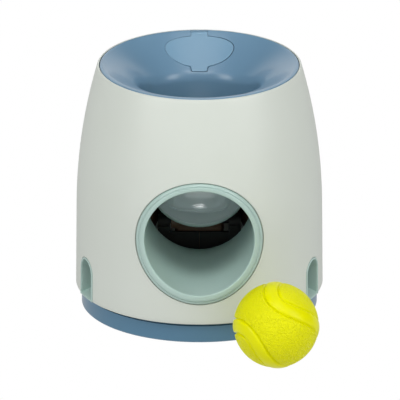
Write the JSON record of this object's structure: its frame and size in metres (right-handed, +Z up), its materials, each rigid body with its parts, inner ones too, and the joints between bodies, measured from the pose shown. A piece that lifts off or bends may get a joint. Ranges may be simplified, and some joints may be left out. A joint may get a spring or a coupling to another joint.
{
  "type": "dog puzzle toy",
  "caption": "Barrel-shaped ball-drop treat dispenser for dogs: top funnel, tilting dish, front tunnel, treat hopper with lid, side outlets and a loose ball.",
  "frame": {"origin": "middle of the housing's underside, on the floor", "axes": "+Z up, -Y out of the front tunnel, +X to the right as seen from the front"},
  "size_m": [0.172, 0.241, 0.1755],
  "materials": {
    "base_blue": "satin",
    "grip_rubber": "matt",
    "shell_white": "satin",
    "funnel_blue": "glossy",
    "lid_blue": "glossy",
    "mint": "glossy",
    "dish_mint": "glossy",
    "clear_white": "matt",
    "post_grey": "matt",
    "steel": "brushed",
    "weight_steel": "zinc plated",
    "stop_rubber": "matt",
    "ball_yellow": "satin, pebbled"
  },
  "bodies": {
    "housing": {"base_plate": "base_blue", "grip_pads": "grip_rubber", "outer_shell": "shell_white", "top_funnel": "funnel_blue", "lid_pin": "steel", "treat_hopper": "clear_white", "dish_axle": "steel", "left_post": "post_grey", "right_post": "post_grey", "stop_bar": "steel", "stop_sleeve": "stop_rubber", "front_tunnel": "mint", "treat_splitter": "clear_white", "left_chute": "clear_white", "right_chute": "clear_white", "left_outlet": "mint", "right_outlet": "mint", "shell_screws": "steel", "post_screws": "steel", "tunnel_screws": "steel"},
    "rocker": {"ball_dish": "dish_mint", "treat_shutter": "dish_mint", "counterweight": "weight_steel"},
    "lid": {"fill_lid": "lid_blue"},
    "loose_ball": {"ball": "ball_yellow"}
  },
  "joints": [
    {"name": "dish_tilt", "type": "hinge", "parent": "housing", "child": "rocker", "pos_m": [0, 0.014, 0.054], "axis": [1, 0, 0], "range_deg": [0, 18]},
    {"name": "lid_hinge", "type": "hinge", "parent": "housing", "child": "lid", "pos_m": [0, 0.0671, 0.17315], "axis": [-1, 0, 0], "range_deg": [0, 110]},
    {"name": "ball_lift", "type": "slide", "parent": "housing", "child": "loose_ball", "axis": [0, 0, 1], "range_m": [0, 0.2]}
  ]
}
